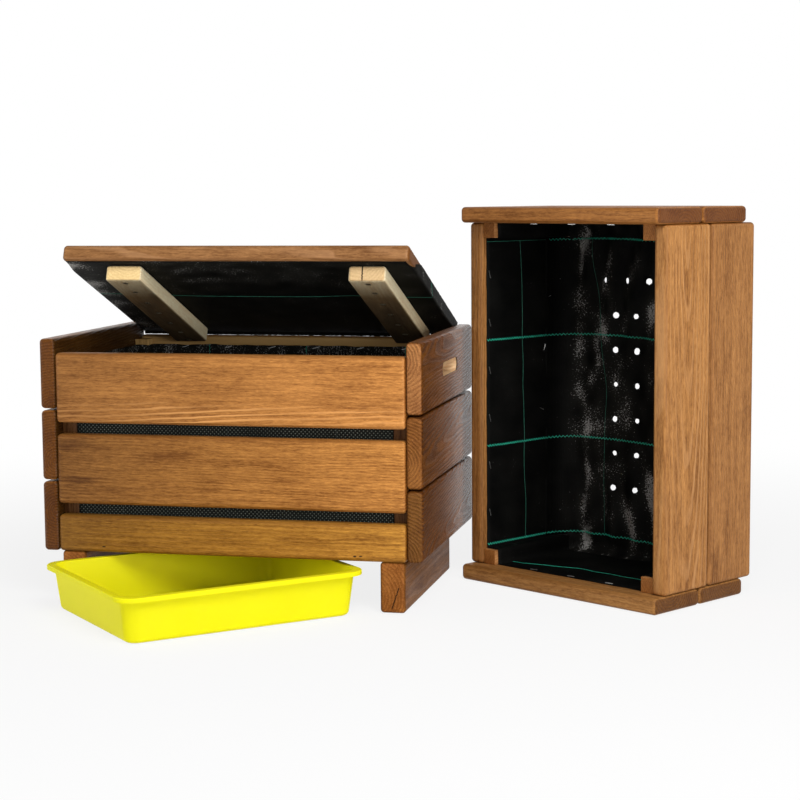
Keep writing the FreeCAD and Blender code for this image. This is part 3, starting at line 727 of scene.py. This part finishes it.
class Walls:
    """The strip of liner that goes round a box's inside and past its posts.

    A place on it is how far along it, from the post at the front right, and how far down, in mm."""

    GAP = 0.75

    def __init__(self, place, top, floor, seed, sheen):
        self.place = place
        self.top = top
        self.depth = top - floor
        self.seed = seed
        self.sheen = sheen
        self.half = BOX_WIDTH / 2 - BOARD - self.GAP
        self.front = BOARD + self.GAP
        self.back = BOX_DEPTH - BOARD - self.GAP
        half, front, back, post = self.half, self.front, self.back, POST + 0.45
        self.post = post
        corners = [(half - post, front + post), (half, front + post), (half, back - post),
                   (half - post, back - post), (half - post, back), (post - half, back),
                   (post - half, back - post), (-half, back - post), (-half, front + post),
                   (post - half, front + post), (post - half, front), (half - post, front)]
        self.corners = [Vector(corner) for corner in corners + corners[:1]]
        self.starts = [0.0]
        self.stops = []
        for start, end in zip(self.corners, self.corners[1:]):
            length = (end - start).length
            self.stops += evenly(self.starts[-1], self.starts[-1] + length, min(7.0, length / 3))[:-1]
            self.starts.append(self.starts[-1] + length)
        self.stops.append(self.starts[-1])
        self.run = self.starts[-1]

    def at(self, along, down):
        """A point of the cloth and the way into the box there, in the row's frame."""
        index = min(bisect.bisect_right(self.starts, along) - 1, len(self.corners) - 2)
        start, end = self.corners[index], self.corners[index + 1]
        length = (end - start).length
        part = (along - self.starts[index]) / length
        ahead = (end - start) / length
        middle = min(1.0, 5.0 * part * (1 - part)) if length > 60 else 0.0
        slack = middle * ease(down, 0.0, 40.0) * (0.8 + 1.5 * drift(self.seed, along / 42.0, down / 50.0))
        hem = 1.5 * drift(self.seed + 2, along / 22.0) * (1 - ease(down, 0.0, 20.0))
        inward = Vector((-ahead.y, ahead.x))
        point = start + (end - start) * part + inward * max(0.0, slack)
        out = self.place.to_3x3().normalized() @ Vector((*inward, 0.0))
        return self.place @ Vector((*point, self.top - down + hem)), out

    def along_back(self, x):
        return self.starts[4] + self.half - self.post - x

    def along_front(self, x):
        return self.starts[10] + self.half - self.post + x

    def along_left(self, y):
        return self.starts[7] + self.back - self.post - y

    def sheet(self, name, body, stands, replaced):
        columns = len(self.stops) - 1

        def surface(u, v):
            along = self.stops[round(u * columns)]
            down = self.depth * v
            return self.at(along, down)[0], (along / 1000, down / 1000), self.sheen(along, down)

        piece = cloth_sheet(name, columns, round(self.depth / 8.0), surface, body)
        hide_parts(*replaced)


def turned_stops(low, high, low_turn, high_turn, pitch):
    """Stops from low to high, closer together where the cloth turns up at either end."""
    def arc(radius):
        steps = max(3, round(radius * math.pi / 2 / pitch))
        return [radius * (1 - math.cos(math.pi / 2 * k / steps)) for k in range(steps)]

    start = [low + gap for gap in arc(low_turn)]
    end = [high - gap for gap in reversed(arc(high_turn))]
    return start + evenly(low + low_turn, high - high_turn, pitch) + end


class Floor:
    """The liner's floor, turned up where it meets the walls and the posts.

    turns are the radii of the turn-up at the left, right, front and back walls, and at the posts."""

    GAP = 1.4

    def __init__(self, place, level, turns, relief, sheen):
        self.place = place
        self.level = level
        self.turns = turns
        self.relief = relief
        self.sheen = sheen
        self.half = BOX_WIDTH / 2 - BOARD - self.GAP
        self.near = BOARD + self.GAP
        self.far = BOX_DEPTH - self.near

    def rise(self, x, y):
        """How far the cloth has climbed at (x, y), how near a wall is, and whether a post stands there."""
        post = POST + 0.5
        beside = self.half - post - abs(x)
        across = min(y - self.near, self.far - y) - post
        at_post = math.hypot(max(beside, 0.0), max(across, 0.0))
        gaps = (self.half + x, self.half - x, y - self.near, self.far - y, at_post)
        rise = 0.0
        for gap, radius in zip(gaps, self.turns):
            reach = max(0.0, radius - max(gap, 0.0))
            rise = max(rise, radius - math.sqrt(radius ** 2 - reach ** 2))
        return rise, max(0.0, min(gaps)), beside < -0.1 and across < -0.1

    def at(self, x, y):
        rise, nearest, post = self.rise(x, y)
        z = self.level + 0.6 + rise + self.relief(x, y) * ease(nearest, 2.0, 34.0)
        return self.place @ Vector((x, y, z))

    def sheet(self, name, body, stands, replaced, spots, seed):
        across = turned_stops(-self.half, self.half, self.turns[0], self.turns[1], 4.3)
        deep = turned_stops(self.near, self.far, self.turns[2], self.turns[3], 4.3)
        columns = len(across) - 1
        rows = len(deep) - 1

        def surface(u, v):
            x = across[round(u * columns)]
            y = deep[round(v * rows)]
            if self.rise(x, y)[2]:
                # only the first row of cloth past a post's face stays, drawn back to that face
                post = POST + 0.5
                side = abs(x) - (self.half - post)
                end = post - min(y - self.near, self.far - y)
                if min(side, end) > 4.4:
                    return None
                if side < end:
                    x = math.copysign(self.half - post, x)
                else:
                    y = self.near + post if y < BOX_DEPTH / 2 else self.far - post
            return self.at(x, y), (x / 1000 + 0.5, y / 1000), self.sheen(x, y)

        draws = random.Random(seed)
        holes = []
        for x, y in spots:
            size = DRAIN_RADIUS / 1000 * draws.uniform(0.88, 1.14)
            narrow = draws.uniform(0.74, 1.0)
            holes.append((self.at(x, y), torn_rim(size, narrow, draws.uniform(0, math.pi))))
        piece = cloth_sheet(name, columns, rows, surface, body,
                            holes)
        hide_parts(replaced)

    def thread(self, run, pitch):
        """Points and normals of a thread on the cloth; run(t) gives its (x, y) for t from 0 to 1."""
        count = round((Vector(run(1.0)) - Vector(run(0.0))).length / 0.3)
        points = []
        for index in range(count + 1):
            x, y = run(index / count)
            here = self.at(x, y)
            if points and (here - points[-1][0]).length < pitch / 1000:
                continue
            normal = (self.at(x + 1.0, y) - here).cross(self.at(x, y + 1.0) - here).normalized()
            points.append((here + normal * (CLOTH / 1400), normal))
        return points


def drain_spots(pulled):
    """The drain holes' places. The second box's cloth was pulled aside a little."""
    spots = []
    for column in range(4):
        for row in range(7):
            x = (row - 3) * DRAIN_ROW_PITCH + 8.0 * pulled
            aside = (20.0 * ease(x, 105.0, 150.0) - 5.0) * pulled
            spots.append((x, BOX_DEPTH / 2 + aside + (column - 1.5) * DRAIN_PITCH))
    return spots


# The green tapes' places along each box, and the length of one stitch of their zigzag
SECOND_TAPES = (-216.0, -74.0, 77.0, 216.0)
BASE_TAPES = (-132.0, 19.0, 170.0)
STITCH = 2.6


def lay_thread(name, points, body, finish, thickness, swing=0.0):
    """A thread along points in the row's frame. A swing in mm lays it in a zigzag."""
    curve = bpy.data.curves.new(name, "CURVE")
    curve.dimensions = "3D"
    curve.bevel_depth = thickness / 2000
    curve.bevel_resolution = 1
    curve.use_fill_caps = True
    spline = curve.splines.new("POLY")
    spline.points.add(len(points) - 1)
    for index, (knot, (at, out)) in enumerate(zip(spline.points, points)):
        ahead = points[min(index + 1, len(points) - 1)][0] - points[max(index - 1, 0)][0]
        aside = ahead.cross(out).normalized() * (swing / 1000)
        knot.co = (*(at + aside if index % 2 else at - aside), 1.0)
    ride_piece(bpy.data.objects.new(name, curve), (finish,), body)


def wall_thread(walls, route, lift=0.45):
    points = [walls.at(along, down) for along, down in route]
    return [(at + out * (lift / 1000), out) for at, out in points]


# The second box's liner

def second_relief(x, y):
    # soft folds run down from the top edge, where the cloth was gathered
    sway = 9.0 * drift(3, x / 90.0, y / 70.0)
    high = math.sin((y + 0.16 * (x - 120) + sway) * 2 * math.pi / 46.0) * ease(x, -40.0, 200.0)
    low = math.sin((y - 0.10 * x + sway) * 2 * math.pi / 40.0) * ease(-x, 40.0, 190.0)
    return 3.0 + 5.0 * high + 3.6 * low + 4.0 * drift(5, x / 60.0, y / 35.0)


# painted sheen and worn specks on the second box's floor: a band, patches, more where a fold faces the light
def second_sheen(x, y):
    facing_light = (second_relief(x, y - 3.0) - second_relief(x, y + 3.0)) / 3.0
    band = hill(0, y, 0, 276 + 14 * drift(4, x / 50.0), 1, 34) * (0.24 + 0.6 * drift(9, x / 28.0, y / 16.0))
    worn_and_glinting = ((1.0, -135, 165, 30, 15), (0.7, -185, 207, 24, 18), (0.6, -205, 178, 26, 14),
            (0.6, 115, 160, 20, 16), (0.4, 5, 232, 60, 14))
    patch = sum(share * hill(x, y, *place) for share, *place in worn_and_glinting)
    stray = 0.24 + 0.5 * drift(11, x / 40.0, y / 18.0)
    # no painted sheen where the cloth meets the far wall
    fresh = ease(326.0 - y, 0.0, 26.0)
    return fresh * min(1.0, (max(0.0, band) + patch + stray) * min(1.5, max(0.25, 0.9 + 0.6 * facing_light)))


def second_wall_sheen(along, down):
    return max(0.0, 0.16 * drift(8, along / 50.0, down / 40.0))


def second_liner():
    walls = Walls(SECOND, SECOND_TOP - LINER_DROP, SECOND_FLOOR + 1.5, 1, second_wall_sheen)
    walls.sheet("second_box_liner_walls", "second_box", ["module_post_" + corner for corner in CORNERS],
                ["module_liner_" + side for side in ("left", "right", "front", "back")])
    floor = Floor(SECOND, SECOND_FLOOR, (17.0, 17.0, 17.0, 44.0, 15.0), second_relief, second_sheen)
    floor.sheet("second_box_liner_floor", "second_box", ["second_box_liner_walls"], "module_liner_floor",
                drain_spots(1.0), 4)
    last = walls.depth - 40.0
    across = floor.near - floor.far
    for index, x in enumerate(SECOND_TAPES):
        points = wall_thread(walls, [(walls.along_back(x), down) for down in evenly(1.0, last, STITCH)])
        if index == 3:
            # the tape along the top end is thin on the wall
            lay_thread("second_box_thin_thread_4", points, "second_box", DARK_GREEN, 0.7)
            points = []
        points += floor.thread(
            lambda t, x=x: (x + 2.0 * math.sin(6 * t), floor.far - 0.5 + across * t), STITCH)
        lay_thread("second_box_green_thread_%d" % (index + 1), points, "second_box", GREEN, 1.15, 1.35)
    route = [(walls.along_back(x), 76.0 - 0.025 * x + 3.0 * drift(2, x / 60.0))
             for x in evenly(216.0, -216.0, 6.0)]
    lay_thread("second_box_thin_thread_1", wall_thread(walls, route), "second_box", DARK_GREEN, 0.55)
    points = floor.thread(
        lambda t: (215.0 - 430.0 * t, 268.0 - 20.0 * ease(t, 0.0, 0.55) + 2.0 * math.sin(9 * t)), 5.0)
    lay_thread("second_box_thin_thread_2", points, "second_box", DARK_GREEN, 0.5)
    route = [(walls.along_left(y), 53.0 - 24.0 * ease(y, 190.0, 292.0) + 3.0 * drift(6, y / 40.0))
             for y in evenly(BOX_DEPTH - BOARD - POST - 3, BOARD + POST + 3, 5.0)]
    lay_thread("second_box_thin_thread_3", wall_thread(walls, route), "second_box", GREEN, 0.6)


# The base box's liner

def base_relief(x, y):
    return 1.5 + 2.5 * drift(21, x / 70.0, y / 50.0)


def base_sheen(x, y):
    return max(0.0, drift(23, x / 60.0, y / 30.0)) * 0.5


def base_wall_sheen(along, down):
    return 0.52 + 0.35 * drift(25, along / 9.0, down / 30.0)


def base_liner():
    # this liner has slipped down a little from the boards' edge
    hem = FRONT_TOP - LINER_DROP - 2.5
    walls = Walls(BASE, hem, BASE_FLOOR + 1.5, 2, base_wall_sheen)
    walls.sheet("base_liner_walls", "base_box", ["base_post_" + corner for corner in CORNERS],
                ["base_liner_" + side for side in ("left", "right", "front", "back")])
    floor = Floor(BASE, BASE_FLOOR, (18.0, 18.0, 18.0, 18.0, 15.0), base_relief, base_sheen)
    floor.sheet("base_liner_bottom", "base_box", ["base_rail_left", "base_rail_right"], "base_liner_floor",
                drain_spots(0.0), 5)
    last = walls.depth - 16.0
    across = floor.near - floor.far + 1.0
    for index, x in enumerate(BASE_TAPES):
        points = wall_thread(walls, [(walls.along_back(x), down) for down in evenly(0.5, last, STITCH)])
        points += floor.thread(lambda t, x=x: (x, floor.far - 0.5 + across * t), STITCH)
        points += wall_thread(walls, [(walls.along_front(x), down) for down in evenly(last, 0.5, STITCH)])
        lay_thread("base_green_thread_%d" % (index + 1), points, "base_box", GREEN, 0.8, 0.8)
        outside = [(walls.along_front(x - 26.0), down) for down in evenly(0.5, walls.depth - 4.0, STITCH)]
        lay_thread("base_outer_thread_%d" % (index + 1), wall_thread(walls, outside, -0.4), "base_box",
                   DARK_YARN, 0.7, 0.9)


# The lid's lining

LINING_EDGE = LID_HALF + 0.55
LINING_LEVEL = LID_UNDERSIDE - 0.55
LINING_FRONT = BOX_DEPTH - LID_DEPTH + 4.0
LINING_BACK = BOX_DEPTH - 0.6
WRAP_RISE = 18.6


def lid_profile():
    """The lining across the lid: up the left edge, under the planks, up the right edge."""
    edge, level, rise = LINING_EDGE, LINING_LEVEL, WRAP_RISE
    profile = [(-edge, level + rise * (1 - k / 5), rise * k / 5) for k in range(5)]
    profile += [(-edge + 2 * edge * k / 200, level, rise + 2 * edge * k / 200) for k in range(201)]
    profile += [(edge, level + rise * k / 5, rise + 2 * edge + rise * k / 5) for k in range(1, 6)]
    return profile


def lid_wrap(x, y, z):
    """The wrap on the lid's side edge starts narrow at the front and widens. Gives x, z and the sheen."""
    climb = ease(y, LINING_FRONT + 8.0, LINING_FRONT + 75.0)
    z = LINING_LEVEL + (z - LINING_LEVEL) * (0.08 + 0.92 * climb) + 0.5 * drift(14, y / 9.0)
    x += math.copysign(0.28 * drift(12, y / 20.0, z / 8.0), x)
    return x, z, 0.20 + 0.6 * drift(13, y / 18.0, z / 6.0)


def lid_hem(x, y, z):
    """A frayed hem hangs over the back board's rounded edge, and stops short of the hinges."""
    if abs(abs(x) - HINGE_X) < HINGE_REACH:
        return x, min(y, LINING_BACK - 3.4), z
    hang = 4.4 if x > 200.0 else 3.7 if x > -206.0 else 3.2
    x -= 0.35 * ease(-x, 236.0, 242.0) * ease(y, LINING_BACK - 30.0, LINING_BACK)
    z -= ease(y, LINING_BACK - 2.6, LINING_BACK) * (hang + 0.7 * drift(16, x / 1.7))
    return x, y, z


def lid_lining():
    profile = lid_profile()
    columns = len(profile) - 1
    front, back = LINING_FRONT, LINING_BACK
    deep = [back, back - 1.2, back - 2.6] + evenly(back - 6.0, front, 5.6)

    def surface(u, v):
        x, z, along = profile[round(u * columns)]
        y = deep[round(v * (len(deep) - 1))]
        if abs(x) > LID_HALF and z > LINING_LEVEL + 0.5:
            x, z, glow = lid_wrap(x, y, z)
        else:
            # painted sheen on the lid's underside, strongest toward the front and along the left edge
            lid_sheen = 0.20 + hill(x, y, -20, 60, 190, 45) * 0.30 + 0.5 * ease(-x, 200.0, 235.0)
            glow = lid_sheen * (0.8 + 1.0 * drift(15, x / 30.0, y / 22.0))
            x, y, z = lid_hem(x, y, z)
        # the cloth was cut a little narrow at the front
        x *= 1 - 5.5 / LID_HALF * (1 - ease(y, front, front + 50.0))
        return LID @ Vector((x, y, z)), (along / 1000, (back - y) / 1000), max(0.0, glow)

    piece = cloth_sheet("lid_lining_cloth", columns, len(deep) - 1, surface, "lid")
    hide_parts("lid_liner")
    spots = [(x, 166.0 - 10.0 * ease(-x, 60.0, 240.0) - 6.0 * hill(x, 0, 134, 0, 40, 1), LINING_LEVEL - 0.3)
             for x in evenly(-LID_HALF + 1, LID_HALF - 0.5, 5.0)]
    points = [(LID @ Vector(spot), LID.to_3x3().normalized() @ Vector((0, 0, -1))) for spot in spots]
    wrap = [(LID_HALF + 0.85, y, LINING_LEVEL + z) for y, z in ((165.0, 1.5), (158.0, 8.0), (150.0, 16.0))]
    points += [(LID @ Vector(spot), Vector((1, 0, 0))) for spot in wrap]
    lay_thread("lid_green_thread", points, "lid", DARK_GREEN, 0.8)


# Staples pressed through the middle of the second box's long wall, besides those along its top

def wall_staples():
    bm = bmesh.new()
    wire = 0.7
    crown = ((9.0, wire, wire), (0, 0, 0))
    legs = [((wire, 4.0, wire), (x, 2.0, 0)) for x in (-4.15, 4.15)]
    for x, z, turn in ((135.0, 46.0, 68.0), (-148.0, 24.0, 80.0), (60.0, 60.0, 20.0), (-30.0, 66.0, 115.0)):
        place = SECOND @ Matrix.Translation((x, BOX_DEPTH - BOARD - 2.6, z))
        place = place @ Matrix.Rotation(math.radians(turn), 4, "Y")
        for size, at in (crown, *legs):
            bar = bmesh.ops.create_cube(bm, size=1.0)["verts"]
            bmesh.ops.scale(bm, vec=size, verts=bar)
            bmesh.ops.translate(bm, vec=at, verts=bar)
            bmesh.ops.transform(bm, matrix=place, verts=bar)
    bmesh.ops.bevel(bm, geom=bm.edges[:], offset=0.00012, segments=1, affect="EDGES", profile=0.5,
                    material=-1)
    mesh = bpy.data.meshes.new("second_box_wall_staples")
    bm.to_mesh(mesh)
    bm.free()
    ride_piece(bpy.data.objects.new("second_box_wall_staples", mesh), (WIRE,), "second_box")


# Floor, light and camera

def pale_floor():
    bm = bmesh.new()
    bmesh.ops.create_circle(bm, cap_ends=True, segments=64, radius=14.0)
    bmesh.ops.translate(bm, vec=(0, 0, -0.0008), verts=bm.verts)
    mesh = bpy.data.meshes.new("pale_floor")
    bm.to_mesh(mesh)
    bm.free()
    floor = bpy.data.objects.new("pale_floor", mesh)
    bpy.context.scene.collection.objects.link(floor)
    finish = Finish("pale floor")
    finish.tree.nodes.remove(finish.shader)
    x, y, z = finish.split(finish.place())
    share = finish.ramp(finish.length(x, y), 0.45, 1.8, 0.84, 1.0, soft=True)
    matt = finish.tree.nodes.new("ShaderNodeBsdfDiffuse")
    matt.inputs[0].default_value = (0.82, 0.82, 0.82, 1)
    glow = finish.tree.nodes.new("ShaderNodeEmission")
    mixed = finish.tree.nodes.new("ShaderNodeMixShader")
    finish.feed(mixed.inputs[0], finish.times(share, seen_directly(finish.tree)))
    finish.join(matt.outputs[0], mixed.inputs[1])
    finish.join(glow.outputs[0], mixed.inputs[2])
    finish.join(mixed.outputs[0], finish.out.inputs[0])
    mesh.materials.append(finish.material)


def seen_directly(tree):
    """1 for what the camera, a reflection or a clear pane sees, 0 for light on matt surfaces."""
    ray = tree.nodes.new("ShaderNodeLightPath")
    most = ray.outputs["Is Camera Ray"]
    for kind in ("Is Glossy Ray", "Is Transmission Ray"):
        node = tree.nodes.new("ShaderNodeMath")
        node.operation = "MAXIMUM"
        tree.links.new(most, node.inputs[0])
        tree.links.new(ray.outputs[kind], node.inputs[1])
        most = node.outputs[0]
    return most


def studio_world(ambient):
    world = bpy.data.worlds.new("studio")
    bpy.context.scene.world = world
    world.use_nodes = True
    tree = world.node_tree
    tree.nodes.clear()
    out = tree.nodes.new("ShaderNodeOutputWorld")
    mixed = tree.nodes.new("ShaderNodeMixShader")
    tree.links.new(seen_directly(tree), mixed.inputs[0])
    for socket, strength in ((mixed.inputs[1], ambient), (mixed.inputs[2], 1.0)):
        light = tree.nodes.new("ShaderNodeBackground")
        light.inputs[0].default_value = (1, 1, 1, 1)
        light.inputs[1].default_value = strength
        tree.links.new(light.outputs[0], socket)
    tree.links.new(mixed.outputs[0], out.inputs[0])


def softbox(name, at, aim, size, power):
    lamp = bpy.data.lights.new(name, "AREA")
    lamp.shape = "SQUARE"
    lamp.size = size
    lamp.energy = power
    piece = bpy.data.objects.new(name, lamp)
    bpy.context.scene.collection.objects.link(piece)
    piece.location = at
    piece.rotation_euler = (Vector(aim) - Vector(at)).to_track_quat("-Z", "Y").to_euler()


def photo_camera():
    data = bpy.data.cameras.new("photo_view")
    data.sensor_fit = "HORIZONTAL"
    data.sensor_width = 36.0
    data.lens = 85.33
    data.clip_start = 0.05
    data.clip_end = 100.0
    piece = bpy.data.objects.new("photo_view", data)
    bpy.context.scene.collection.objects.link(piece)
    turn, pitch, roll = (math.radians(value) for value in (12.84, 6.29, -0.42))
    ahead = Vector((-math.sin(turn) * math.cos(pitch), math.cos(turn) * math.cos(pitch), -math.sin(pitch)))
    right = ahead.cross(Vector((0, 0, 1))).normalized()
    up = right.cross(ahead)
    c, s = math.cos(roll), math.sin(roll)
    place = Matrix((c * right + s * up, c * up - s * right, -ahead)).transposed().to_4x4()
    place.translation = BASE @ Vector((779.059, -2383.904, 552.916))
    piece.matrix_world = place
    bpy.context.scene.camera = piece
    bpy.context.scene.view_settings.view_transform = "Standard"


def fixings_and_tray():
    steel = zinc("zinc plated hinge steel", (0.62, 0.61, 0.58), 0.35)
    brass = zinc("yellow zinc screws", (0.50, 0.44, 0.32), 0.38)
    tray = tray_plastic()
    for node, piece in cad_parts.items():
        if node.startswith("hinge_"):
            dress(piece, steel)
        elif "screws" in node:
            dress(piece, brass)
        elif "staples" in node:
            dress(piece, WIRE)
        elif node == "drip_tray":
            dress(piece, tray)


pale_floor()
studio_world(0.22)
softbox("key_softbox", (0.80, -1.45, 1.75), (0.0, 0.0, 0.2), 1.1, 34.5)
softbox("low_softbox", (1.9, -1.8, 0.42), (0.0, 0.0, 0.3), 0.8, 31)
softbox("left_softbox", (-1.5, -1.0, 0.30), (-0.1, -0.1, 0.05), 0.6, 8)
photo_camera()

front_and_back_boards()
side_boards()
base_frame_wood()
lid_wood()
second_box_wood()

WIRE = zinc("galvanised staple wire", (0.66, 0.66, 0.64), 0.40)
LINER = liner_inside()
LINER_OUTSIDE = liner_outside()
GREEN = yarn("green thread", (0.04, 0.74, 0.48))
DARK_GREEN = yarn("thin green thread", (0.025, 0.22, 0.14))
DARK_YARN = yarn("dark thread, outside", (0.004, 0.012, 0.010))
fixings_and_tray()
second_liner()
base_liner()
lid_lining()
wall_staples()
